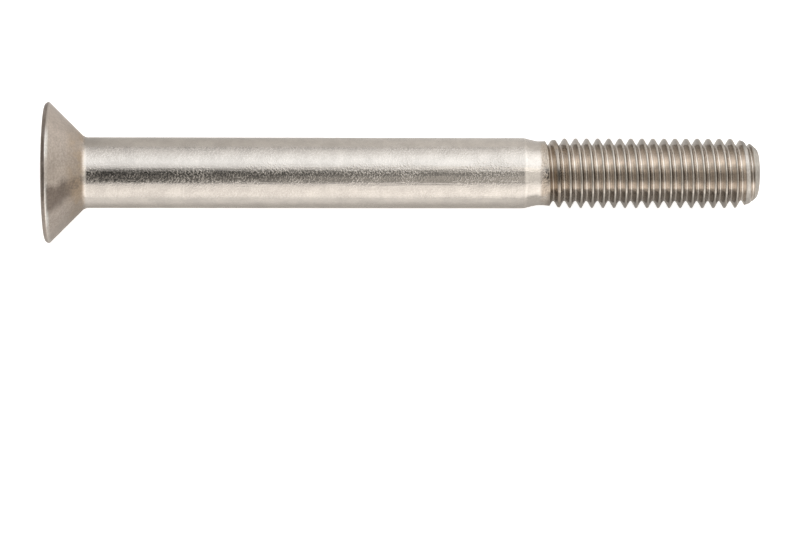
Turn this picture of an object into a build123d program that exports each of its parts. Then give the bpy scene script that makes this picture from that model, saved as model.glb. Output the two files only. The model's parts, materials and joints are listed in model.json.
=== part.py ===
from build123d import *
import os
from math import atan2, ceil, cos, degrees, radians, tan

# Countersunk socket screw, M8 x 80, with a rolled thread on part of its length. Millimetres.
# The screw is made upright on its own axis, head face at the origin and point upwards, and is
# then laid down on its head rim and its last full thread crest, with the point towards +X.

LENGTH = 80.0  # head face to point

# Head
HEAD_DIAMETER = 15.85
COUNTERSINK_ANGLE = 90.0  # across the whole cone
RIM_FLAT = 0.35  # straight part of the rim
RIM_CHAMFER = 0.25
UNDERHEAD_FILLET = 0.9

# Hexagon socket
SOCKET_ACROSS_FLATS = 5.0
SOCKET_DEPTH = 3.5  # along the flats
SOCKET_MOUTH_CHAMFER = 0.55
SOCKET_BOTTOM_ANGLE = 120.0

# Shank, and the waist between it and the thread
SHANK_DIAMETER = 7.92
WAIST_DEPTH = 0.355  # below the thread crests
WAIST_TAPER = 1.7

# Thread. The flanks are straight below the crest, and the root between them is a blunt V.
THREAD_DIAMETER = 7.84
PITCH = 1.25
THREAD_ANGLE = 60.0
CREST_FLAT = 0.165
FLANK_DEPTH = 0.5
ROOT_DEPTH = 0.266
THREAD_LENGTH = 24.7  # waist to point
CREST_RISE = 2.3  # waist to the first full crest
RUN_OUT_TURNS = 0.5  # over which the groove sinks to its full depth
RUN_OUT_START = 0.3  # waist to the first trace of the groove

# Point: the crests fall along a lead, then a steeper chamfer meets the end face
LEAD_DEPTH = 0.53
LEAD_ANGLE = 18.0
CHAMFER_DEPTH = 0.71
CHAMFER_ANGLE = 40.0

# Room that the cutters need around the finished form
CUTTER_OVERLAP = 0.05
CUTTER_TURNS = 4  # turns of groove that one cutter takes

# Lengths and radii that follow
head_radius = HEAD_DIAMETER / 2
shank_radius = SHANK_DIAMETER / 2
crest_radius = THREAD_DIAMETER / 2
waist_radius = crest_radius - WAIST_DEPTH
root_radius = crest_radius - FLANK_DEPTH - ROOT_DEPTH

half_cone = radians(COUNTERSINK_ANGLE / 2)
rim_height = RIM_CHAMFER + RIM_FLAT
head_height = rim_height + (head_radius - shank_radius) / tan(half_cone)

thread_start = LENGTH - THREAD_LENGTH
run_out_height = RUN_OUT_TURNS * PITCH
groove_start = thread_start + RUN_OUT_START + run_out_height
cutter_height = CUTTER_TURNS * PITCH
cutter_count = ceil((LENGTH + PITCH / 2 - groove_start) / cutter_height)
bar_end = groove_start + cutter_count * cutter_height + PITCH

clear_radius = max(shank_radius, crest_radius) + CUTTER_OVERLAP
waist_fall = (shank_radius - waist_radius) / WAIST_TAPER
crest_climb = WAIST_DEPTH / CREST_RISE
chamfer_radius = crest_radius - LEAD_DEPTH
chamfer_top = LENGTH - CHAMFER_DEPTH / tan(radians(CHAMFER_ANGLE))
lead_slope = tan(radians(LEAD_ANGLE))

# Section of the groove, from its root outwards
flank_slope = tan(radians(THREAD_ANGLE / 2))
half_crest_gap = (PITCH - CREST_FLAT) / 2
half_knee = half_crest_gap - FLANK_DEPTH * flank_slope
half_mouth = half_crest_gap + CUTTER_OVERLAP * flank_slope
mouth_depth = ROOT_DEPTH + FLANK_DEPTH + CUTTER_OVERLAP
groove_section = [
    (0, 0),
    (ROOT_DEPTH, -half_knee),
    (mouth_depth, -half_mouth),
    (mouth_depth, half_mouth),
    (ROOT_DEPTH, half_knee),
]

# Some turns of the full-depth groove, which climb from +X
with BuildPart() as groove:
    with BuildLine() as climb:
        Helix(pitch=PITCH, height=cutter_height, radius=root_radius, center=(0, 0, groove_start))
    with BuildSketch(Plane(origin=climb.line @ 0, x_dir=(1, 0, 0), z_dir=(0, -1, 0))):
        with BuildLine():
            Polyline(*groove_section, close=True)
        make_face()
    sweep(path=climb.line, is_frenet=True)

# Run-out, which leaves the same height downwards from -X on a widening cone
run_out_rise = waist_radius + 2 * CUTTER_OVERLAP - root_radius
run_out_cone = atan2(run_out_rise, run_out_height)
with BuildPart() as run_out:
    with BuildLine() as descent:
        Helix(
            pitch=PITCH / cos(run_out_cone),
            height=run_out_height,
            radius=root_radius,
            center=(0, 0, groove_start),
            direction=(0, 0, -1),
            cone_angle=degrees(run_out_cone),
        )
    with BuildSketch(Plane(origin=descent.line @ 0, x_dir=(-1, 0, 0), z_dir=(0, -1, 0))):
        with BuildLine():
            Polyline(*groove_section, close=True)
        make_face()
    sweep(path=descent.line, is_frenet=True)


def ring(height):
    """The circular edge nearest this height, on the part being built."""
    circles = edges().filter_by(GeomType.CIRCLE)
    return circles.sort_by(lambda edge: abs(edge.center().Z - height))[0]


with BuildPart() as upright:
    # Blank, longer than the screw by the bar that the last groove cutter runs out in
    with BuildSketch(Plane.XZ):
        with BuildLine():
            Polyline(
                (0, 0),
                (head_radius, 0),
                (head_radius, rim_height),
                (shank_radius, head_height),
                (shank_radius, thread_start),
                (crest_radius, thread_start),
                (crest_radius, bar_end),
                (0, bar_end),
                close=True,
            )
        make_face()
    revolve(axis=Axis.Z)
    fillet(ring(head_height), UNDERHEAD_FILLET)
    chamfer(ring(0), RIM_CHAMFER)

    # Groove, then its run-out
    with Locations(*[(0, 0, index * cutter_height) for index in range(cutter_count)]):
        add(groove.part, mode=Mode.SUBTRACT)
    with Locations(Rotation(0, 0, 180)):
        add(run_out.part, mode=Mode.SUBTRACT)

    # Waist: down from the shank, and up again to the first full crest
    with BuildSketch(Plane.XZ):
        with BuildLine():
            Polyline(
                (clear_radius, thread_start - (clear_radius - waist_radius) / waist_fall),
                (waist_radius, thread_start),
                (clear_radius, thread_start + (clear_radius - waist_radius) / crest_climb),
                close=True,
            )
        make_face()
    revolve(axis=Axis.Z, mode=Mode.SUBTRACT)

    # Point: the spare bar and all that stands outside the two cones comes off
    with BuildSketch(Plane.XZ):
        with BuildLine():
            Polyline(
                (0, LENGTH),
                (chamfer_radius - CHAMFER_DEPTH, LENGTH),
                (chamfer_radius, chamfer_top),
                (clear_radius, chamfer_top - (clear_radius - chamfer_radius) / lead_slope),
                (clear_radius, bar_end + CUTTER_OVERLAP),
                (0, bar_end + CUTTER_OVERLAP),
                close=True,
            )
        make_face()
    revolve(axis=Axis.Z, mode=Mode.SUBTRACT)

    # Socket: a drilled core with a countersunk mouth, then the hexagon
    core_radius = SOCKET_ACROSS_FLATS / 2
    with BuildSketch(Plane.XZ):
        with BuildLine():
            Polyline(
                (0, 0),
                (core_radius + SOCKET_MOUTH_CHAMFER, 0),
                (core_radius, SOCKET_MOUTH_CHAMFER),
                (core_radius, SOCKET_DEPTH),
                (0, SOCKET_DEPTH + core_radius / tan(radians(SOCKET_BOTTOM_ANGLE / 2))),
                close=True,
            )
        make_face()
    revolve(axis=Axis.Z, mode=Mode.SUBTRACT)
    with BuildSketch(Plane.XY):
        RegularPolygon(core_radius, side_count=6, major_radius=False)
    extrude(amount=SOCKET_DEPTH, mode=Mode.SUBTRACT)

# At rest the head stands higher than the point, so the axis leans down towards +X. The groove
# reaches its full depth on the +Y side.
last_full_crest = chamfer_top - LEAD_DEPTH / lead_slope - PITCH / 2
rest_tilt = degrees(atan2(head_radius - crest_radius, last_full_crest - rim_height))
lying = Rotation(0, 90 + rest_tilt, 0) * Rotation(0, 0, 90)
lying_box = (lying * upright.part).bounding_box()
on_floor = Pos(-lying_box.center().X, -lying_box.center().Y, -lying_box.min.Z)

with BuildPart() as screw:
    with Locations(on_floor * lying):
        add(upright.part)

screw.part.label = "screw"
os.makedirs("parts", exist_ok=True)
export_step(screw.part, "parts/screw.step")
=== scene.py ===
"""Countersunk socket screw with a rolled thread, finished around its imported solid.

The screw is modelled upright on its own axis, with the head's flat face at height zero and the
point upwards, and is then laid down where the frame has it. All sizes are in metres, and angles
round the screw in radians.
"""

import json
import math

import bpy
import numpy as np
from bpy.props import FloatProperty, FloatVectorProperty, IntProperty, PointerProperty
from bpy.types import Operator, Panel, PropertyGroup
from mathutils import Matrix, Vector


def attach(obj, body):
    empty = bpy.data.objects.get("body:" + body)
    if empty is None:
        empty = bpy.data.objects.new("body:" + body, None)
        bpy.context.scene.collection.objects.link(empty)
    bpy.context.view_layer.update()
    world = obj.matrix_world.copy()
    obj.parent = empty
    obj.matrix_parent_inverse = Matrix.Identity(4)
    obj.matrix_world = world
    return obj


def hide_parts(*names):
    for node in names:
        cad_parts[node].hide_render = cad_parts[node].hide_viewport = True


bl_info = {
    "name": "Countersunk Socket Screw",
    "version": (1, 0, 0),
    "blender": (4, 5, 0),
    "location": "3D View > Sidebar > Screw",
    "description": "Stainless screw with a rolled thread, on a pale studio floor",
    "category": "Object",
}

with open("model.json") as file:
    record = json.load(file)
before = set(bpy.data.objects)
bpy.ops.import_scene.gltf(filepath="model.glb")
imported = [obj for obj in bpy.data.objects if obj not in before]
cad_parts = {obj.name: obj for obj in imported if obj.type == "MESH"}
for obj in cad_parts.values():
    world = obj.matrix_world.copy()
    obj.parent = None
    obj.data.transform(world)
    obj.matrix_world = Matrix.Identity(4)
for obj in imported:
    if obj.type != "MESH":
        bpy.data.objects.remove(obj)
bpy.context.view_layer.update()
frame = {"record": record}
MOUNTS = {mount["name"]: mount for mount in frame["record"]["mounts"]}

SOCKET_SIDES = 6
MERGE_DISTANCE = 2e-6
SELECTION_MARGIN = 1.01
SMOOTH_ANGLE = math.radians(40)

# The poles are turned as a ring this small, which is then drawn together
SMALL_RING = 0.0001

# Where the shank's outline turns fine, in lengths of the waist's fall, and its rows from there
WAIST_LEAD_IN = 1.3
WAIST_ROWS = 32

# How far the groove's root rises out of the chamfer, against the extra depth near the point
GROOVE_LIFT = 2.5

# The picture's width in pixels, the sensor's in millimetres, and how far the camera sees in metres
PICTURE_WIDTH = 800
SENSOR_WIDTH = 36.0
FARTHEST_SEEN = 10.0

# Sizes of the steel's patterns and the depth of its relief, in grains
BROAD_GRAIN = 8
PATCHES = 14
DRAWN_LINES = 1.1
RELIEF_DEPTH = 0.075

# Share of the place that the rolled waves' noise takes beside its radius, so that they run round
ROLLED_STRETCH = 0.05

# The range in which nearly all of a noise's values lie
NOISE_SPREAD = (0.3, 0.7)

# Edges of the finishes and of the painted light and shade: where each starts to change and where it has
# changed.
# Heights from the head's face
RIM_BAND_EDGE = (0.00050, 0.00040)
# The painted reflection on the cone turns between these heights
REFLECTION_TURN = (0.0008, 0.0042)
# The painted dark reflection in clumps narrows and fades between these
CLUMPS_NARROW = (0.015, 0.024)
CLUMPS_FADE = (0.036, 0.022)
LINES_DEEPEN = (0.024, 0.046)
PITS_DEEPEN = (0.026, 0.044)
# Heights from the rim's top, from the neck, from the thread's start and from the point
CONE_EDGE = (0.0, 0.0002)
NECK_BLEND = (0.0002, -0.0002)
# Painted shadow on the shank beside the neck
NECK_SHADOW_EDGE = (0.0035, 0.0008)
THREAD_EDGE = (0.0006, 0.0012)
# The painted shade on the thread's side towards -Y fades out between these
LOW_SHADE_FADE = (-0.0032, -0.0020)
POINT_SKIN_EDGE = (-0.0026, -0.0022)
TRACE_EDGE = (-0.0016, -0.0011)
POINT_END = (-0.0005, -0.0003)
# Distances from the surfaces of the rim, the crests, the chamfer and the root
RIM_BAND_DEPTH = (-0.0006, -0.0003)
CREST_DEPTH = (-0.00016, -0.00003)
POINT_SKIN_DEPTH = (-0.00014, -0.00004)
ROOT_LIGHT_DEPTH = (0.00065, 0.0002)
ROOT_MATT_DEPTH = (0.0003, 0.0001)

# Where a finish or a painted light or shade starts, is full, fades and ends: along the axis from
# the face, the neck, the waist's fall or the thread's start, and round the axis by azimuth
# The rim's worn line with its painted highlight
RIM_HIGHLIGHT_STRETCH = (0.00042, 0.00051, 0.00068, 0.00085)
NECK_STRETCH = (-0.0022, -0.0007, -0.0004, 0.0004)
# The painted highlight ring where the shank starts to fall
RING_STRETCH = (-0.0001, 0.0, 0.0001, 0.0003)
WAIST_STRETCH = (-0.0001, 0.0004, 0.0020, 0.0034)
TOP_SHADE_SECTOR = (-0.44, -0.34, -0.08, 0.06)
# Painted shade along the thread's side towards -Y
LOW_SHADE_SECTOR = (-2.6, -2.0, -0.67, -0.60)

# Shade in the thread's grooves by azimuth, which adds up: from, to, and the shade at both
THREAD_SHADES = (
    (0.34, 0.12, 0.035, 0.25),
    (0.7, 1.1, 0.0, 0.27),
    (0.38, 0.6, 0.0, 0.09),
    (-0.15, -0.48, 0.0, -0.09),
)
TOP_SHADE = 0.06

# Patches of floor that glow in the steel, beside the screw and along it: from, to, glow at both
LOW_POOL = ((-0.008, -0.03, 0.0, 0.4), (0.022, 0.012, 0.0, 1.0))
HIGH_POOL = ((-0.003, 0.003, 0.0, 1.0), (-0.028, 0.012, 0.0, 0.20))
HIGH_POOL_BY_THREAD = (0.014, 0.020, 1.0, 0.55)

WHITE = (1, 1, 1, 1)

# The dim gap overhead, in degrees from straight above towards +Y: where it starts and is full,
# and where it fades and ends
GAP_STRETCH = (-42, -30, 12, 26)

# A ramp's colours stop at one, so the room's light is divided by this there, and multiplied later
LIGHT_SCALE = 2.4

# Brightness and warmth of the room by the angle from straight above, in degrees towards +Y
LIGHT_PROFILE = (
    (-90, 1.62, 0.02),
    (-76, 1.78, 0.03),
    (-60, 1.64, 0.03),
    (-46, 1.50, 0.03),
    (-38, 1.15, 0.02),
    (-31, 0.10, 0.0),
    (-7, 0.02, 0.0),
    (1, 0.02, 0.0),
    (9, 0.45, 0.0),
    (17, 1.42, -0.02),
    (33, 1.87, -0.03),
    (50, 1.70, -0.02),
    (72, 1.30, 0.0),
    (82, 1.10, 0.0),
    (90, 0.80, 0.0),
)


# ---------------------------------------------------------------- sizes and colours


def length(name, description, default):
    return FloatProperty(
        name=name, description=description, default=default, unit="LENGTH", precision=5
    )


def angle(name, description, degrees):
    return FloatProperty(
        name=name, description=description, default=math.radians(degrees), subtype="ANGLE"
    )


def factor(name, description, default):
    return FloatProperty(
        name=name, description=description, default=default, min=0.0, max=1.0, subtype="FACTOR"
    )


def count(name, description, default):
    return IntProperty(name=name, description=description, default=default, min=1)


def colour(name, description, default):
    return FloatVectorProperty(
        name=name,
        description=description,
        default=default,
        min=0.0,
        max=1.0,
        size=3,
        subtype="COLOR",
    )


class ScrewForm(PropertyGroup):
    """Sizes of the screw, along and across its own axis"""

    length: length("Length", "Head face to point", 0.080)
    columns: count("Columns", "Faces round the screw, a multiple of six", 96)
    rows: count("Rows", "Faces along one pitch, a divisor of the columns", 32)

    head_diameter: length("Head", "Diameter of the head's rim", 0.01578)
    rim_height: length("Rim", "Straight part of the head's edge", 0.0005)
    face_round: length("Face Edge", "Rounding between the flat face and the rim", 0.00045)
    cone_round: length("Cone Edge", "Rounding between the rim and the cone", 0.00018)
    cone_angle: angle("Countersink", "Angle across the whole cone", 90)
    underhead_round: length("Underhead", "Hollow between the cone and the shank", 0.001)

    socket_flats: length("Socket", "Hexagon socket across its flats", 0.005)
    socket_depth: length("Socket Depth", "Depth along the flats", 0.0035)
    mouth_chamfer: length("Socket Mouth", "Width of the countersunk mouth", 0.00055)
    core_gap: length("Core Gap", "Ledge between the flats and the drilled core", 0.00005)
    bottom_angle: angle("Socket Bottom", "Angle across the drilled bottom", 120)

    shank_diameter: length("Shank", "Diameter of the plain shank", 0.00792)
    waist_depth: length("Waist", "Depth of the waist below the crests", 0.000355)
    waist_taper: length("Waist Taper", "Length of the fall from the shank", 0.0016)
    waist_length: length("Waist Length", "Straight bottom of the waist", 0.00055)
    waist_corner: length("Waist Corner", "Softness of the edge between the shank and the fall", 0.00005)
    waist_hollow: length("Waist Hollow", "Softness of the hollow at the bottom of the waist", 0.00016)

    thread_diameter: length("Thread", "Diameter over the crests", 0.00784)
    pitch: length("Pitch", "Height of one turn", 0.00125)
    thread_depth: length("Thread Depth", "Depth of the groove", 0.000775)
    flank_angle: angle("Thread Angle", "Angle between the flanks", 60)
    crest_flat: length("Crest", "Width of the crest between the flanks", 0.000165)
    crest_blend: length("Crest Blend", "Softness of the crest's corners", 0.00007)
    thread_length: length("Thread Length", "Waist to point", 0.0248)
    crest_rise: length("Crest Rise", "Waist to the first full crest", 0.0023)
    run_out_turns: FloatProperty(
        name="Run-out", description="Turns in which the groove sinks", default=0.5
    )
    run_out_start: length("Run-out Start", "Waist to the first trace of the groove", 0.0005)
    run_out_lift: length("Run-out Lift", "Height of the groove over the waist where it ends", 0.0001)

    lead_depth: length("Lead", "Fall of the crests along the lead", 0.00053)
    lead_angle: angle("Lead Angle", "Slope of the lead", 18)
    chamfer_depth: length("Chamfer", "Fall along the point's chamfer", 0.00071)
    chamfer_angle: angle("Chamfer Angle", "Slope of the point's chamfer", 40)
    point_blend: length("Point Blend", "Softness between the lead and the chamfer", 0.0001)
    point_round: length("Point Edge", "Rounding between the chamfer and the end", 0.0007)
    point_margin: length("Point Margin", "Plain end of the point, which the groove doesn't reach", 0.0004)
    point_sink: length("Point Sink", "Extra depth of the groove near the point", 0.00018)
    point_sink_length: length("Point Sink Length", "Length over which the groove sinks", 0.0026)
    groove_end: length("Groove End", "Point to where the groove has risen out of the chamfer", 0.00042)
    groove_rise: length("Groove Rise", "Height over which the groove rises out", 0.00022)


class SteelLook(PropertyGroup):
    """Colours and grain of the stainless steel, with its painted highlights, shade and reflection"""

    shank: colour("Shank", "Drawn steel", (0.461, 0.428, 0.392))
    head: colour("Head", "Forged cone", (0.42, 0.369, 0.328))
    thread: colour("Thread", "Rolled flanks", (0.565, 0.51, 0.454))
    crest: colour("Crest", "Polished crests", (0.46, 0.423, 0.38))
    point: colour("Point", "Turned point", (0.47, 0.443, 0.407))
    # Colour of the dark, patchy band on the rim's straight part
    scale: colour("Scale", "Dark skin left on the rim", (0.17, 0.14, 0.12))
    # Colour of the painted reflection, a dark streak across the cone
    painted_reflection: colour("Painted Reflection", "Dull streak across the cone", (0.15, 0.12, 0.10))
    tint: colour("Tint", "Brown stain round the neck", (0.34, 0.27, 0.20))
    # Colour of the rim's worn line with its painted highlight
    rim_highlight_colour: colour("Polish", "Bright line beside the rim", (0.62, 0.60, 0.57))
    grain: length("Grain", "Size of the skin's grain", 0.00022)
    # Size of the clumps of painted dark reflection along the shank's top
    clumps: length("Clumps", "Size of the darker clumps along the shank", 0.0016)
    rolled_lines: length("Rolled Lines", "Width of the waves that rolling leaves", 0.0005)
    # Share of the painted reflection on the cone
    reflection_strength: factor("Reflection Strength", "Share of the cone's streak", 0.8)
    stain_strength: factor("Stain Strength", "Share of the neck's stain", 0.85)
    # Brightness of the painted highlight ring where the shank starts to fall
    ring_light: factor("Ring", "Brightness added where the shank starts to fall", 0.10)


class StageSetup(PropertyGroup):
    """Camera, floor and the room's light"""

    camera_distance: length("Camera Distance", "Lens to the screw's axis", 0.3426)
    camera_lean: angle("Camera Lean", "From straight down, towards the head", 0.6)
    focal_pixels: FloatProperty(
        name="Focal Length", description="In pixels of the picture", default=3050
    )
    aim: FloatVectorProperty(
        name="Aim",
        description="Along the screw and beside it",
        default=(0.0397, -0.0105),
        size=2,
        unit="LENGTH",
    )
    floor_size: length("Floor", "Side of the square floor", 3.0)
    floor_colour: colour("Floor Colour", "Matt floor, as the steel sees it", (0.78, 0.758, 0.735))
    floor_glow: factor("Floor Glow", "Light that whitens the floor for the camera", 0.62)
    gap_end: FloatVectorProperty(
        name="Gap End",
        description="Where the dim gap overhead turns pale towards +X",
        default=(0.0, 0.30),
        size=2,
    )
    far_gap: colour("Far Gap", "The gap past its end", (0.44, 0.43, 0.41))
    gap_side: colour("Gap Side", "The gap's side towards -Y", (0.36, 0.345, 0.325))
    gap_edge: colour("Gap Edge", "The gap's bright edge towards +Y", (0.8, 0.78, 0.75))
    near_gap: colour("Near Gap", "The gap over the head", (0.2, 0.195, 0.185))
    head_wall: colour("Head Wall", "The room past the head", (0.26, 0.25, 0.235))
    point_wall: colour("Point Wall", "The room past the point", (0.36, 0.345, 0.32))


# ---------------------------------------------------------------- helpers


def coordinates(made):
    """The vertices' places as rows of x, y and z. The object is in object mode."""
    flat = np.empty(len(made.data.vertices) * 3)
    made.data.vertices.foreach_get("co", flat)
    return flat.reshape(-1, 3)


def move_vertices(made, places):
    made.data.vertices.foreach_set("co", places.ravel())
    made.data.update()


def select_vertices(made, chosen):
    """Selects the chosen vertices and nothing else, and leaves the object in edit mode."""
    bpy.ops.mesh.select_all(action="DESELECT")
    bpy.ops.object.mode_set(mode="OBJECT")
    made.data.vertices.foreach_set("select", chosen(coordinates(made)))
    bpy.ops.object.mode_set(mode="EDIT")
    bpy.ops.mesh.select_mode(type="VERT")


def radius_of(places):
    return np.hypot(places[:, 0], places[:, 1])


def turn_of(places):
    """Angle round the axis in whole turns, from 0 up to 1."""
    return np.arctan2(places[:, 1], places[:, 0]) / (2 * math.pi) % 1


def soft_min(first, second, blend):
    """The lower of two, with the corner between them rounded."""
    near = np.clip(blend - np.abs(first - second), 0, None) / blend
    return np.minimum(first, second) - near**2 * blend / 4


def soft_max(first, second, blend):
    return -soft_min(-first, -second, blend)


def arc(centre, radius, start, stop, steps):
    """Outline points on an arc about a centre (radius, height), between two angles in radians."""
    turns = np.linspace(start, stop, steps + 1)
    return [(centre[0] + radius * math.cos(t), centre[1] + radius * math.sin(t)) for t in turns]


def line(start, stop, steps):
    """Outline points between two others, without them."""
    shares = np.linspace(0, 1, steps + 1)[1:-1]
    return [tuple(np.add(start, np.subtract(stop, start) * share)) for share in shares]


def turn_outline(name, columns, outline):
    """A body turned from an outline of (radius, height): a ring pulled from each point to the next."""
    bpy.ops.object.select_all(action="DESELECT")
    radius, height = outline[0]
    bpy.ops.mesh.primitive_circle_add(vertices=columns, radius=radius, location=(0, 0, height))
    made = bpy.context.object
    made.name = name
    bpy.ops.object.transform_apply(location=True, rotation=False, scale=False)
    bpy.ops.object.mode_set(mode="EDIT")
    for next_radius, next_height in outline[1:]:
        scale = next_radius / radius
        rise = next_height - height
        bpy.ops.mesh.extrude_region_move(TRANSFORM_OT_translate={"value": (0, 0, rise)})
        bpy.ops.transform.resize(value=(scale, scale, 1), center_override=(0, 0, next_height))
        radius, height = next_radius, next_height
    return made


def close_pole(made):
    """Draws the small ring round the axis together to one point, and leaves edit mode."""
    select_vertices(made, lambda places: radius_of(places) < SMALL_RING * SELECTION_MARGIN)
    bpy.ops.mesh.merge(type="CENTER")
    bpy.ops.object.mode_set(mode="OBJECT")


# ---------------------------------------------------------------- the screw's form


def thread_start(form):
    return form.length - form.thread_length


def chamfer_start(form):
    """Height at which the lead meets the point's chamfer."""
    return form.length - form.chamfer_depth / math.tan(form.chamfer_angle)


def neck_height(form):
    """Height at which the cone would meet the shank, without the hollow between them."""
    reach = (form.head_diameter - form.shank_diameter) / 2
    return form.rim_height + reach / math.tan(form.cone_angle / 2)


def socket_mouth(form):
    """Radius of the countersunk mouth on the head's face."""
    return form.socket_flats / 2 + form.mouth_chamfer


def blank_radius(form, height):
    """Radius of the turned blank, from the shank to the chamfer, before its thread is rolled."""
    shank = form.shank_diameter / 2
    crest = form.thread_diameter / 2
    waist = crest - form.waist_depth
    past_fall = height - thread_start(form)
    fall = waist - past_fall * (shank - waist) / form.waist_taper
    rise = waist + (past_fall - form.waist_length) * form.waist_depth / form.crest_rise
    radius = soft_max(soft_max(fall, rise, form.waist_hollow), waist, form.waist_hollow)
    radius = soft_min(radius, np.where(past_fall < 0, shank, crest), form.waist_corner)

    past_lead = height - chamfer_start(form)
    lead = crest - form.lead_depth - past_lead * math.tan(form.lead_angle)
    chamfer = crest - form.lead_depth - past_lead * math.tan(form.chamfer_angle)
    return soft_min(soft_min(radius, lead, form.point_blend), chamfer, form.point_blend)


def groove_radius(form, height, turn):
    """Radius of the groove's surface: a round root between two flanks, sinking over the run-out."""
    start = thread_start(form) + form.run_out_start + form.run_out_turns * form.pitch
    climb = (height - start) / form.pitch - turn
    sideways = np.abs(climb - np.round(climb)) * form.pitch
    turned = np.round(climb) + turn

    root = form.thread_diameter / 2 - form.thread_depth
    run_out_end = form.thread_diameter / 2 - form.waist_depth + form.run_out_lift
    root = root + (run_out_end - root) * np.clip(-turned, 0, None) / form.run_out_turns
    to_end = form.length - form.groove_end - start - turned * form.pitch
    root = root - form.point_sink * np.clip(1 - to_end / form.point_sink_length, 0, 1)
    root = root + GROOVE_LIFT * form.point_sink * np.clip(1 - to_end / form.groove_rise, 0, 1)

    half_flank = form.flank_angle / 2
    sharp_depth = (form.pitch - form.crest_flat) / 2 / math.tan(half_flank)
    round_depth = sharp_depth - form.thread_depth
    root_round = round_depth / (1 / math.sin(half_flank) - 1)
    bottom = root_round - np.sqrt(np.clip(root_round**2 - sideways**2, 0, None))
    flank = sideways / math.tan(half_flank) - round_depth
    return root + np.where(sideways < root_round * math.cos(half_flank), bottom, flank)


def socket_outline(form):
    """From the axis at the drilled bottom, up the wall and out to the mouth on the face."""
    flats = form.socket_flats / 2
    core = flats - form.core_gap
    bottom = (SMALL_RING, form.socket_depth + core / math.tan(form.bottom_angle / 2))
    ledge = (core, form.socket_depth)
    foot = (flats, form.socket_depth)
    lip = (flats, form.mouth_chamfer)
    floor = [bottom, *line(bottom, ledge, steps=4), ledge]
    wall = [foot, *line(foot, lip, steps=5), lip]
    return floor + wall + [(socket_mouth(form), 0)]


def head_outline(form):
    """From the mouth across the face, round the rim and along the cone to the shank."""
    head = form.head_diameter / 2
    shank = form.shank_diameter / 2
    face_corner = (head - form.face_round, form.face_round)
    outline = line((socket_mouth(form), 0), (face_corner[0], 0), steps=5)
    outline += arc(face_corner, form.face_round, -math.pi / 2, 0, steps=8)

    lean = math.pi / 2 - form.cone_angle / 2
    rim_corner = (head - form.cone_round, form.rim_height - form.cone_round * math.tan(lean / 2))
    outline += arc(rim_corner, form.cone_round, 0, lean, steps=5)
    hollow_rise = form.underhead_round * math.tan(form.cone_angle / 4)
    hollow = (shank + form.underhead_round, neck_height(form) + hollow_rise)
    foot = arc(hollow, form.underhead_round, math.pi + lean, math.pi, steps=10)
    return outline + line(outline[-1], foot[0], steps=8) + foot


def shank_outline(form, foot):
    """From the foot of the head along the shank and down to the waist."""
    waist_top = thread_start(form) - WAIST_LEAD_IN * form.waist_taper
    heights = np.linspace(waist_top, thread_start(form), WAIST_ROWS)
    plain = line(foot, (form.shank_diameter / 2, waist_top), steps=14)
    return plain + list(zip(blank_radius(form, heights), heights))


def turn_head_and_shank(form):
    """Socket, face, rim, cone, shank and the fall to the waist, as one turned body."""
    outline = socket_outline(form) + head_outline(form)
    outline += shank_outline(form, outline[-1])
    made = turn_outline("head_and_shank", form.columns, outline)
    close_pole(made)
    press_socket(form, made)
    return made


def press_socket(form, made):
    """Presses the round socket's wall out to the hexagon, with its corners on the turned chamfer."""
    flats = form.socket_flats / 2
    places = coordinates(made)
    radius = radius_of(places)
    in_socket = places[:, 2] < form.socket_depth * SELECTION_MARGIN
    wall = (np.abs(radius - flats) < form.core_gap / 2) & in_socket
    side = turn_of(places) * SOCKET_SIDES % 1 - 0.5
    reach = 1 / np.cos(side * 2 * math.pi / SOCKET_SIDES)
    top = np.where(wall, socket_mouth(form) - flats * reach, 0)
    depth_share = (places[:, 2] - form.mouth_chamfer) / (form.socket_depth - form.mouth_chamfer)
    places[wall, :2] *= reach[wall, None]
    places[wall, 2] = (top + (form.socket_depth - top) * depth_share)[wall]
    move_vertices(made, places)


def wind_rows(form, top, turns):
    """A strip of rows wound once round the axis, and repeated downwards from the top."""
    radius = form.thread_diameter / 2
    bpy.ops.object.select_all(action="DESELECT")
    bpy.ops.mesh.primitive_grid_add(
        x_subdivisions=1,
        y_subdivisions=form.rows,
        size=form.pitch,
        location=(radius - form.pitch / 2, 0, top + form.pitch / 2),
        rotation=(math.pi / 2, 0, 0),
    )
    made = bpy.context.object
    made.name = "thread"
    bpy.ops.object.transform_apply(location=True, rotation=True, scale=False)
    bpy.ops.object.mode_set(mode="EDIT")
    select_vertices(made, lambda places: places[:, 0] < radius - form.pitch / 2)
    bpy.ops.mesh.delete(type="VERT")
    bpy.ops.mesh.select_all(action="SELECT")
    bpy.ops.mesh.screw(steps=form.columns, turns=1, center=(0, 0, 0), axis=(0, 0, -1))
    bpy.ops.object.mode_set(mode="OBJECT")

    bpy.ops.object.modifier_add(type="ARRAY")
    array = made.modifiers[-1]
    array.count = turns
    array.use_relative_offset = False
    array.use_constant_offset = True
    array.constant_offset_displace = (0, 0, -form.pitch)
    bpy.ops.object.modifier_apply(modifier=array.name)
    return made


def straighten_rows(form, made, bottom):
    """Sets each row on its own climb, because the winding leaves it a little off."""
    row = form.pitch / form.rows
    radius = form.thread_diameter / 2
    places = coordinates(made)
    turn = np.round(turn_of(places) * form.columns) % form.columns / form.columns
    climb = np.round((places[:, 2] - bottom) / row - turn * form.rows)
    places[:, 2] = bottom + (climb + turn * form.rows) * row
    places[:, 0] = radius * np.cos(turn * 2 * math.pi)
    places[:, 1] = radius * np.sin(turn * 2 * math.pi)
    move_vertices(made, places)


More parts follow.
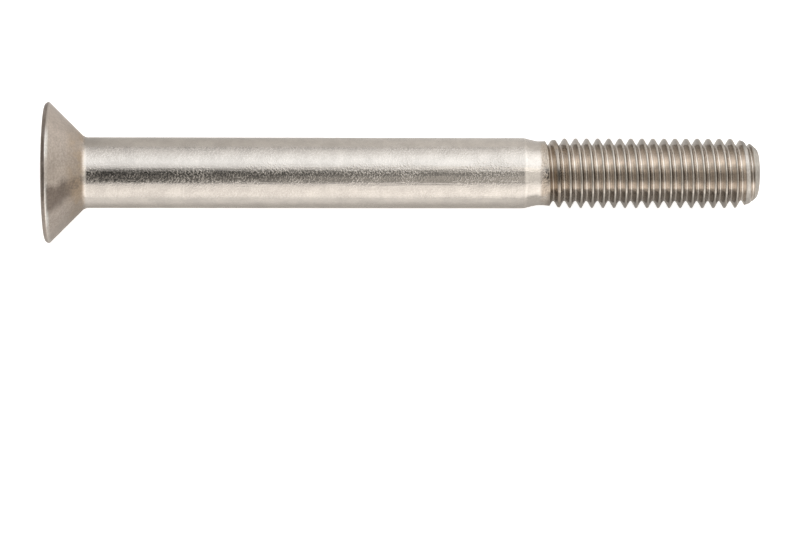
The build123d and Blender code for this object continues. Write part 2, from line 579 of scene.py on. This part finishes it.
def trim_rows(bottom, top):
    """Merges the wound turns and cuts them off level at both ends."""
    bpy.ops.object.mode_set(mode="EDIT")
    bpy.ops.mesh.select_all(action="SELECT")
    bpy.ops.mesh.remove_doubles(threshold=MERGE_DISTANCE)
    for height, direction in ((bottom, -1), (top, 1)):
        bpy.ops.mesh.select_all(action="SELECT")
        bpy.ops.mesh.bisect(
            plane_co=(0, 0, height),
            plane_no=(0, 0, direction),
            clear_outer=True,
            threshold=MERGE_DISTANCE,
        )
    bpy.ops.object.mode_set(mode="OBJECT")


def roll_thread(form):
    """Rows wound in a screw up to the point, pressed to the blank and the groove rolled into it."""
    row = form.pitch / form.rows
    bottom = thread_start(form)
    top = bottom + row * math.floor((form.thread_length - form.point_margin) / row)
    made = wind_rows(form, top, turns=math.ceil((top - bottom) / form.pitch) + 1)
    straighten_rows(form, made, bottom)
    trim_rows(bottom, top)

    places = coordinates(made)
    blank = blank_radius(form, places[:, 2])
    groove = groove_radius(form, places[:, 2], turn_of(places))
    places[:, :2] *= (soft_min(blank, groove, form.crest_blend) / radius_of(places))[:, None]
    move_vertices(made, places)
    return made, top


def turn_point(form, bottom):
    """The last of the chamfer above the thread, the rounded edge and the end face."""
    slope = math.tan(form.chamfer_angle)
    end = form.thread_diameter / 2 - form.lead_depth - form.chamfer_depth
    lean = math.sin(form.chamfer_angle)
    inset = form.point_round * (math.cos(form.chamfer_angle) - (1 - lean) * slope)
    centre = (end - inset, form.length - form.point_round)
    edge = arc(centre, form.point_round, form.chamfer_angle, math.pi / 2, steps=8)
    start = (float(blank_radius(form, bottom)), bottom)
    middle = (SMALL_RING, form.length)
    outline = [start, *line(start, edge[0], steps=8), *edge]
    outline += [*line(edge[-1], middle, steps=6), middle]
    made = turn_outline("point", form.columns, outline)
    close_pole(made)
    return made


def lay_down():
    """The upright screw's place in the frame: its face's centre, its axis, and +X turned to +Y."""
    socket = MOUNTS["hexagon_socket"]
    along = -Vector(socket["axis"]).normalized()
    across = Vector((0, 1, 0))
    upward = along.cross(across)
    turned = Matrix((across, upward, along)).transposed().to_4x4()
    return Matrix.Translation(Vector(socket["pos_m"])) @ turned


# ---------------------------------------------------------------- finishes and painted light


def opaque(values):
    return (*values, 1.0)


class Nodes:
    """A material's or a world's node tree, with short ways to add to it."""

    def __init__(self, owner):
        owner.use_nodes = True
        self.tree = owner.node_tree
        self.tree.nodes.clear()

    def add(self, kind, settings=None, **inputs):
        """Adds a node, sets its properties, and sets or links its inputs by name or number."""
        node = self.tree.nodes.new(kind)
        for name, value in (settings or {}).items():
            setattr(node, name, value)
        for name, value in inputs.items():
            key = int(name[1:]) if name[0] == "_" else name.replace("_", " ")
            socket = node.inputs[key]
            if isinstance(value, bpy.types.NodeSocket):
                self.tree.links.new(value, socket)
            else:
                socket.default_value = value
        return node

    def coordinates(self, kind):
        return self.add("ShaderNodeTexCoord").outputs[kind]

    def separate(self, vector):
        """The vector's parts, by the names X, Y and Z."""
        return self.add("ShaderNodeSeparateXYZ", Vector=vector).outputs

    def stretch(self, vector, scale):
        return self.add("ShaderNodeMapping", Vector=vector, Scale=scale).outputs[0]

    def math(self, operation, *values):
        numbered = {f"_{index}": value for index, value in enumerate(values)}
        return self.add("ShaderNodeMath", {"operation": operation}, **numbered).outputs[0]

    def total(self, first, *others):
        for other in others:
            first = self.math("ADD", first, other)
        return first

    def product(self, first, *others):
        for other in others:
            first = self.math("MULTIPLY", first, other)
        return first

    def remainder(self, share):
        """What the share leaves of one."""
        return self.math("SUBTRACT", 1.0, share)

    def ramp(self, value, start, stop, low=0.0, high=1.0):
        """A smooth step from low to high while the value goes from start to stop."""
        node = self.add(
            "ShaderNodeMapRange",
            {"interpolation_type": "SMOOTHSTEP"},
            Value=value, From_Min=start, From_Max=stop, To_Min=low, To_Max=high,
        )
        return node.outputs["Result"]

    def step(self, value, edge, origin=0.0, low=0.0, high=1.0):
        """A ramp over an edge that is measured from an origin."""
        return self.ramp(value, origin + edge[0], origin + edge[1], low, high)

    def hill(self, value, reach, origin=0.0):
        """A smooth hill from 0 to 1 and back: its start, where it is full, where it fades, its end."""
        start, full, fading, stop = (origin + place for place in reach)
        return self.product(self.ramp(value, start, full), self.ramp(value, stop, fading))

    def noise(self, vector, size, detail=2.0, roughness=0.5):
        """Noise whose features are about this long, from 0 to 1."""
        node = self.add(
            "ShaderNodeTexNoise", Vector=vector, Scale=1 / size, Detail=detail, Roughness=roughness
        )
        return node.outputs[0]

    def mottle(self, noise, low, high):
        """The whole of a noise's spread, made to go from low to high."""
        return self.ramp(noise, *NOISE_SPREAD, low, high)

    def mix(self, share, first, second, blend="MIX"):
        settings = {"data_type": "RGBA", "blend_type": blend}
        return self.add("ShaderNodeMix", settings, _0=share, _6=first, _7=second).outputs[2]

    def brighten(self, shade, share):
        """The colour multiplied by a share, which may be more or less than one."""
        settings = {"operation": "SCALE"}
        return self.add("ShaderNodeVectorMath", settings, _0=shade, Scale=share).outputs[0]

    def surface(self, **inputs):
        """Ends a material with its one shader."""
        shader = self.add("ShaderNodeBsdfPrincipled", **inputs)
        self.add("ShaderNodeOutputMaterial", Surface=shader.outputs[0])


class SteelSkin(Nodes):
    """The steel's finish and its painted light and shade, by height, radius and azimuth on the upright
    screw.

    The azimuth is zero on the side that lies uppermost, and grows towards the frame's +Y.
    """

    def __init__(self, material, form, look):
        super().__init__(material)
        self.form = form
        self.look = look
        self.neck = neck_height(form)
        self.start = thread_start(form)
        self.crest = form.thread_diameter / 2
        self.root = self.crest - form.thread_depth
        self.measure()
        self.add_grain()
        self.mark_zones()

    def measure(self):
        """The place on the upright screw, and its height, radius and azimuth."""
        upright = lay_down().inverted()
        place = self.add(
            "ShaderNodeMapping",
            Vector=self.coordinates("Object"),
            Location=upright.translation,
            Rotation=upright.to_euler(),
        ).outputs[0]
        axes = self.separate(place)
        across = self.add("ShaderNodeVectorMath", {"operation": "MULTIPLY"}, _0=place, _1=(1, 1, 0))
        distance = self.add("ShaderNodeVectorMath", {"operation": "LENGTH"}, _0=across.outputs[0])
        self.place = place
        self.height = axes["Z"]
        self.radius = distance.outputs["Value"]
        self.azimuth = self.math("ARCTAN2", axes["X"], axes["Y"])

    def add_grain(self):
        """Noises of several sizes. Drawing and rolling have pulled some of them out."""
        look = self.look
        self.fine = self.noise(self.place, look.grain, 3.0, 0.6)
        self.broad = self.noise(self.place, look.grain * BROAD_GRAIN, 3.0, 0.6)
        self.patchy = self.noise(self.stretch(self.place, (1, 1, 0.6)), look.grain * PATCHES, 2.0)
        self.drawn = self.noise(self.stretch(self.place, (1, 1, 0.04)), look.grain * DRAWN_LINES, 2.0)
        self.clumps = self.noise(self.stretch(self.place, (1, 1, 0.4)), look.clumps, 3.0, 0.6)
        ring = self.add("ShaderNodeCombineXYZ", X=self.radius).outputs[0]
        wound = self.add(
            "ShaderNodeVectorMath", {"operation": "MULTIPLY_ADD"},
            _0=self.place, _1=(ROLLED_STRETCH,) * 3, _2=ring,
        ).outputs[0]
        self.rolled = self.noise(wound, look.rolled_lines, 1.0)

    def mark_zones(self):
        """Shares from 0 to 1 that say where the head, cone, waist, thread, crests and point are."""
        past_rim = self.step(self.height, CONE_EDGE, self.form.rim_height)
        self.on_head = self.step(self.height, NECK_BLEND, self.neck)
        self.on_cone = self.product(self.on_head, past_rim)
        self.on_waist = self.hill(self.height, WAIST_STRETCH, self.start)
        self.on_thread = self.step(self.height, THREAD_EDGE, self.start)
        self.on_crest = self.product(self.on_thread, self.step(self.radius, CREST_DEPTH, self.crest))
        self.on_point = self.turned_point()

    def turned_point(self):
        """The chamfer and the end, but not the grooves that cut into the chamfer."""
        form = self.form
        past_lead = self.math("SUBTRACT", self.height, chamfer_start(form))
        lead = self.product(past_lead, -math.tan(form.lead_angle))
        chamfer = self.product(past_lead, -math.tan(form.chamfer_angle))
        outline = self.total(self.math("MINIMUM", lead, chamfer), self.crest - form.lead_depth)
        skin = self.math("SUBTRACT", self.radius, outline)
        uncut = self.product(
            self.step(self.height, POINT_SKIN_EDGE, form.length), self.step(skin, POINT_SKIN_DEPTH)
        )
        return self.math("MAXIMUM", uncut, self.step(self.height, POINT_END, form.length))

    def off_crest(self, share):
        """The thread less a share of its crests."""
        return self.math("SUBTRACT", self.on_thread, self.product(self.on_crest, share))

    # Colour

    def zone_colours(self):
        """Each zone's own colour, with the rim's dark band, the rim's worn line and painted highlight,
        the cone's painted reflection and the stains over it.
        """
        look = self.look
        mixed = opaque(look.shank)
        for share, shade in (
            (self.on_head, look.head),
            (self.on_thread, look.thread),
            (self.on_crest, look.crest),
            (self.on_point, look.point),
            (self.rim_dark_band(), look.scale),
            (self.rim_wear_highlight(), look.rim_highlight_colour),
            (self.cone_painted_reflection(), look.painted_reflection),
            (self.neck_stain(), look.tint),
            (self.waist_stain(), look.tint),
        ):
            mixed = self.mix(share, mixed, opaque(shade))
        return mixed

    def rim_dark_band(self):
        """Dark band on the rim's straight part, patchy, and narrower on one side."""
        rim = self.form.head_diameter / 2
        shift = self.ramp(self.azimuth, -0.3, -0.1, -0.00001, 0.00005)
        return self.product(
            self.step(self.math("SUBTRACT", self.height, shift), RIM_BAND_EDGE),
            self.step(self.radius, RIM_BAND_DEPTH, rim),
            self.ramp(self.azimuth, -0.5, -0.3, 0.55, 0.9),
            self.ramp(self.broad, 0.36, 0.56, 0.72, 1.06),
        )

    def rim_wear_highlight(self):
        """The bright line that wear leaves along the cone's outer edge, painted brighter as a highlight
        that is faint at the top and on the far sides, where the light falls flat on it.
        """
        return self.product(
            self.hill(self.height, RIM_HIGHLIGHT_STRETCH),
            self.ramp(self.math("ABSOLUTE", self.azimuth), 0.12, 0.26, 0.3, 1.0),
            self.ramp(self.azimuth, 0.5, 0.72, 1.0, 0.1),
            self.ramp(self.azimuth, -0.75, -1.0, 1.0, 0.4),
        )

    def cone_painted_reflection(self):
        """Painted reflection: a dark streak down the cone, wavy, and turning a little on its way to the
        neck.
        """
        off_middle = self.total(
            self.azimuth,
            self.mottle(self.broad, 0.35, 0.45),
            self.step(self.height, REFLECTION_TURN, low=0.05, high=-0.05),
        )
        across = self.ramp(self.math("ABSOLUTE", off_middle), 0.30, 0.10)
        return self.product(across, self.on_cone, self.look.reflection_strength)

    def neck_stain(self):
        return self.product(
            self.hill(self.height, NECK_STRETCH, self.neck),
            self.ramp(self.broad, 0.4, 0.6, 0.35, 1.0),
            self.look.stain_strength,
        )

    def waist_stain(self):
        return self.product(self.on_waist, self.ramp(self.broad, 0.35, 0.6, 0.15, 0.6))

    # Tone

    def tone(self):
        """Brightness against the zones' own colours, with painted highlights and painted shade."""
        root_light = self.step(self.radius, ROOT_LIGHT_DEPTH, self.root, -0.06, 0.12)
        tone = self.total(
            self.mottle(self.broad, -0.07, 0.07),
            self.mottle(self.fine, 0.955, 1.045),
            self.product(self.on_thread, root_light),
            self.cone_light_and_shade(),
            self.shank_ring_highlight(),
        )
        tone = self.math("SUBTRACT", tone, self.thread_shade())
        for loss in (self.matt_grain(), self.shank_painted_shade(), self.low_painted_shade(), self.point_trace()):
            tone = self.product(tone, self.remainder(loss))
        return tone

    def cone_light_and_shade(self):
        """Painted light on the cone's side towards +Y, and painted shade on the rest, deepest towards -Y.
        """
        lighter = self.ramp(self.azimuth, 0.2, 0.8, -0.07, 0.19)
        darker = self.ramp(self.azimuth, -0.5, -0.7, 0.0, -0.05)
        return self.product(self.on_cone, self.total(lighter, darker))

    def shank_ring_highlight(self):
        """Painted highlight: the bright ring where the shank starts to fall to the waist."""
        fall = self.start - self.form.waist_taper
        return self.product(self.hill(self.height, RING_STRETCH, fall), self.look.ring_light)

    def thread_shade(self):
        """Shade in the grooves, which changes round the axis."""
        shades = [self.ramp(self.azimuth, *shade) for shade in THREAD_SHADES]
        top = self.product(self.hill(self.azimuth, TOP_SHADE_SECTOR), TOP_SHADE)
        return self.product(self.off_crest(0.8), self.total(*shades, top))

    def matt_grain(self):
        """Grain of the forged head and the turned point."""
        zone = self.math("MAXIMUM", self.on_head, self.on_point)
        return self.product(zone, self.mottle(self.fine, 0.09, -0.09))

    def shank_painted_shade(self):
        """Painted dark reflection in clumps along the shank's top, narrower towards the waist, and
        painted shadow on the shank beside the neck.
        """
        # Painted dark reflection in clumps, where the shank's top reflects the dim gap
        shift = self.step(self.height, CLUMPS_NARROW, high=0.10)
        low_edge = self.math("SUBTRACT", self.azimuth, shift)
        clumps = self.product(
            self.ramp(self.clumps, 0.42, 0.58, 0.0, 0.33),
            self.step(self.height, CLUMPS_FADE),
            self.ramp(self.azimuth, 0.02, -0.10),
            self.ramp(low_edge, -0.34, -0.26),
        )
        # Painted shadow on the shank beside the neck
        hollow = self.product(
            self.step(self.height, NECK_SHADOW_EDGE, self.neck, high=0.22),
            self.ramp(self.azimuth, 0.72, 0.95),
        )
        plain = self.remainder(self.math("MAXIMUM", self.on_head, self.on_thread))
        return self.product(self.total(clumps, hollow), plain)

    def low_painted_shade(self):
        """Painted shade: the darker streak along the thread's side towards -Y, which ends before the
        point.
        """
        return self.product(
            self.hill(self.azimuth, LOW_SHADE_SECTOR),
            self.ramp(self.azimuth, -0.92, -0.74, 1.0, 1.35),
            self.math("SUBTRACT", self.off_crest(0.4), self.on_point),
            self.ramp(self.broad, 0.25, 0.5, 0.25, 0.36),
            self.step(self.height, LOW_SHADE_FADE, self.form.length, 1.0, 0.2),
        )

    def point_trace(self):
        """Shade in the trace that the groove leaves in the chamfer."""
        return self.product(
            self.remainder(self.on_point),
            self.step(self.height, TRACE_EDGE, self.form.length),
            self.ramp(self.azimuth, -0.52, -0.32, 0.0, 0.2),
        )

    # Gloss and relief

    def roughness(self):
        """Roughness of the shank, with what each zone adds to it."""
        in_root = self.product(self.on_thread, self.step(self.radius, ROOT_MATT_DEPTH, self.root))
        added = (
            self.product(zone, more)
            for zone, more in (
                (self.on_head, 0.2),
                (self.on_thread, -0.04),
                (self.on_point, 0.26),
                (self.on_waist, 0.08),
                (self.on_crest, 0.06),
                (in_root, 0.1),
            )
        )
        return self.total(self.mottle(self.fine, 0.14, 0.20), *added)

    def relief(self):
        """Pits on the plain skin, lines along the shank, and waves that rolling leaves."""
        rolled_skin = self.math("SUBTRACT", self.on_thread, self.on_point)
        patches = self.math(
            "MAXIMUM", self.ramp(self.patchy, 0.34, 0.66, 0.05, 0.50), self.product(self.on_waist, 0.8)
        )
        pits = self.product(
            self.ramp(self.fine, 0.46, 0.68),
            patches,
            self.step(self.height, PITS_DEEPEN, low=1.0, high=1.7),
            self.remainder(self.product(rolled_skin, 0.97)),
        )
        lines = self.product(
            self.drawn,
            self.remainder(self.on_thread),
            self.step(self.height, LINES_DEEPEN, low=0.36, high=0.96),
        )
        waves = self.total(
            self.product(self.broad, 0.25), self.product(self.rolled, self.on_thread, 1.8)
        )
        depth = self.look.grain * RELIEF_DEPTH
        height = self.total(pits, lines, waves)
        return self.add("ShaderNodeBump", Strength=1.0, Distance=depth, Height=height).outputs[0]


def steel_material(form, look):
    """Stainless steel: drawn shank, forged head and rolled thread."""
    material = bpy.data.materials.new("stainless_steel")
    skin = SteelSkin(material, form, look)
    skin.surface(
        Metallic=1.0,
        Base_Color=skin.brighten(skin.zone_colours(), skin.tone()),
        Roughness=skin.roughness(),
        Normal=skin.relief(),
    )
    return material


def floor_material(stage):
    """Matt white that keeps the screw's shadow, and looks white to the camera and in the steel."""
    material = bpy.data.materials.new("white_floor")
    nodes = Nodes(material)
    path = nodes.add("ShaderNodeLightPath").outputs
    mirrored = nodes.math("MAXIMUM", path["Is Glossy Ray"], path["Is Transmission Ray"])
    axes = nodes.separate(nodes.coordinates("Object"))
    low_pool, high_pool = (
        nodes.product(nodes.ramp(axes["Y"], *beside), nodes.ramp(axes["X"], *along))
        for beside, along in (LOW_POOL, HIGH_POOL)
    )
    high_pool = nodes.product(high_pool, nodes.ramp(axes["X"], *HIGH_POOL_BY_THREAD))
    glow = nodes.total(
        nodes.product(mirrored, nodes.total(low_pool, high_pool)),
        nodes.product(path["Is Camera Ray"], stage.floor_glow),
    )
    nodes.surface(
        Base_Color=opaque(stage.floor_colour),
        Roughness=0.9,
        Emission_Color=WHITE,
        Emission_Strength=glow,
    )
    return material


def long_boxes(nodes, lean):
    """The light of the two long boxes and the gap between them, by the lean in degrees."""
    half_turn = 180
    middle = 0.5
    position = nodes.total(nodes.math("DIVIDE", lean, half_turn), middle)
    ramp = nodes.add("ShaderNodeValToRGB", _0=position)
    stops = ramp.color_ramp.elements
    while len(stops) > 1:
        stops.remove(stops[-1])
    for index, (degrees, brightness, warmth) in enumerate(LIGHT_PROFILE):
        place = degrees / half_turn + middle
        stop = stops[0] if index == 0 else stops.new(place)
        stop.position = place
        tint = (1 + warmth, 1, 1 - warmth)
        stop.color = opaque(brightness / LIGHT_SCALE * share for share in tint)
    return ramp.outputs[0]


def studio_world(stage):
    """Two long soft boxes beside a dim gap, painted by the angle round the screw's length."""
    world = bpy.data.worlds.new("studio")
    nodes = Nodes(world)
    axes = nodes.separate(nodes.coordinates("Generated"))
    along = axes["X"]
    lean = nodes.math("DEGREES", nodes.math("ARCTAN2", axes["Y"], axes["Z"]))

    in_gap = nodes.hill(lean, GAP_STRETCH)
    far_gap = nodes.product(nodes.ramp(along, *stage.gap_end), in_gap)
    gap_side = nodes.product(
        nodes.ramp(lean, -7, -17),
        nodes.ramp(lean, -30, -21, 0.65, 1.0),
        nodes.ramp(along, 0.0, 0.14),
        in_gap,
    )
    gap_edge = nodes.product(nodes.ramp(lean, 4, 11), nodes.ramp(along, 0.09, 0.17), in_gap)
    near_gap = nodes.product(nodes.ramp(along, -0.12, -0.25), in_gap)
    head_wall = nodes.product(nodes.ramp(along, -0.35, -0.7), nodes.remainder(in_gap))
    point_wall = nodes.ramp(along, 0.65, 0.95)

    light = long_boxes(nodes, lean)
    for share, shade, blend in (
        (far_gap, stage.far_gap, "MIX"),
        (gap_side, stage.gap_side, "LIGHTEN"),
        (gap_edge, stage.gap_edge, "LIGHTEN"),
        (near_gap, stage.near_gap, "MIX"),
        (head_wall, stage.head_wall, "MIX"),
        (point_wall, stage.point_wall, "MIX"),
    ):
        light = nodes.mix(share, light, opaque(shade), blend)

    low_box = nodes.product(nodes.ramp(lean, 38, 60), nodes.ramp(along, -0.04, 0.16, -0.07, 0.15))
    level = nodes.product(
        nodes.ramp(along, -0.32, 0.34, 0.8 * LIGHT_SCALE, 1.2 * LIGHT_SCALE),
        nodes.total(low_box, 1.0),
    )
    seen = nodes.add("ShaderNodeLightPath").outputs["Is Camera Ray"]
    light = nodes.mix(seen, nodes.brighten(light, level), WHITE)
    background = nodes.add("ShaderNodeBackground", Color=light, Strength=1.0)
    nodes.add("ShaderNodeOutputWorld", Surface=background.outputs[0])
    return world


# ---------------------------------------------------------------- operators


class MESH_OT_make_screw(Operator):
    """Turn the head, shank and point, roll the thread and lay the screw down"""

    bl_idname = "mesh.make_screw"
    bl_label = "Make Screw"

    def execute(self, context):
        form = context.scene.screw_form
        body = turn_head_and_shank(form)
        thread, thread_top = roll_thread(form)
        point = turn_point(form, thread_top)

        bpy.ops.object.select_all(action="DESELECT")
        for made in (body, thread, point):
            made.select_set(True)
        context.view_layer.objects.active = body
        bpy.ops.object.join()
        body.name = "screw_finish"
        body.data.name = "screw_finish"
        bpy.ops.object.mode_set(mode="EDIT")
        bpy.ops.mesh.select_all(action="SELECT")
        bpy.ops.mesh.remove_doubles(threshold=MERGE_DISTANCE)
        bpy.ops.mesh.normals_make_consistent(inside=False)
        bpy.ops.object.mode_set(mode="OBJECT")

        body.matrix_world = lay_down()
        bpy.ops.object.transform_apply(location=True, rotation=True, scale=True)
        bpy.ops.object.shade_smooth_by_angle(angle=SMOOTH_ANGLE)
        body.data.materials.clear()
        body.data.materials.append(steel_material(form, context.scene.steel_look))
        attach(body, "root")
        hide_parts("screw")
        return {"FINISHED"}


class SCENE_OT_make_screw_stage(Operator):
    """Add the floor, the room's light and the camera"""

    bl_idname = "scene.make_screw_stage"
    bl_label = "Make Stage"

    def execute(self, context):
        scene = context.scene
        stage = scene.stage_setup

        bpy.ops.object.select_all(action="DESELECT")
        bpy.ops.mesh.primitive_plane_add(size=stage.floor_size, location=(0, 0, 0))
        floor = context.object
        floor.name = "floor"
        floor.data.materials.append(floor_material(stage))

        scene.world = studio_world(stage)
        add_camera(scene, stage)
        scene.view_settings.view_transform = "Standard"
        return {"FINISHED"}


def add_camera(scene, stage):
    """The camera looks down on the screw, a little towards its head."""
    upright = lay_down()
    right = Vector((math.cos(stage.camera_lean), 0, -math.sin(stage.camera_lean)))
    up = Vector((0, 1, 0))
    back = right.cross(up)
    along, aside = stage.aim
    target = upright @ Vector((0, 0, along)) + up * aside
    camera = bpy.data.objects.new("camera", bpy.data.cameras.new("camera"))
    scene.collection.objects.link(camera)
    turned = Matrix((right, up, back)).transposed().to_4x4()
    camera.matrix_world = Matrix.Translation(target + back * stage.camera_distance) @ turned
    camera.data.sensor_width = SENSOR_WIDTH
    camera.data.lens = stage.focal_pixels / PICTURE_WIDTH * SENSOR_WIDTH
    camera.data.clip_end = FARTHEST_SEEN
    scene.camera = camera


class VIEW3D_PT_screw(Panel):
    """Buttons and sizes of the screw"""

    bl_label = "Countersunk Screw"
    bl_space_type = "VIEW_3D"
    bl_region_type = "UI"
    bl_category = "Screw"

    def draw(self, context):
        layout = self.layout
        layout.operator(MESH_OT_make_screw.bl_idname)
        layout.operator(SCENE_OT_make_screw_stage.bl_idname)
        scene = context.scene
        for settings in (scene.screw_form, scene.steel_look, scene.stage_setup):
            column = layout.column(align=True)
            for name in settings.__annotations__:
                column.prop(settings, name)


CLASSES = (
    ScrewForm,
    SteelLook,
    StageSetup,
    MESH_OT_make_screw,
    SCENE_OT_make_screw_stage,
    VIEW3D_PT_screw,
)


def register():
    for made in CLASSES:
        bpy.utils.register_class(made)
    bpy.types.Scene.screw_form = PointerProperty(type=ScrewForm)
    bpy.types.Scene.steel_look = PointerProperty(type=SteelLook)
    bpy.types.Scene.stage_setup = PointerProperty(type=StageSetup)


def unregister():
    del bpy.types.Scene.stage_setup
    del bpy.types.Scene.steel_look
    del bpy.types.Scene.screw_form
    for made in reversed(CLASSES):
        bpy.utils.unregister_class(made)


def main():
    register()
    bpy.ops.scene.make_screw_stage()
    bpy.ops.mesh.make_screw()


if __name__ == "__main__":
    main()
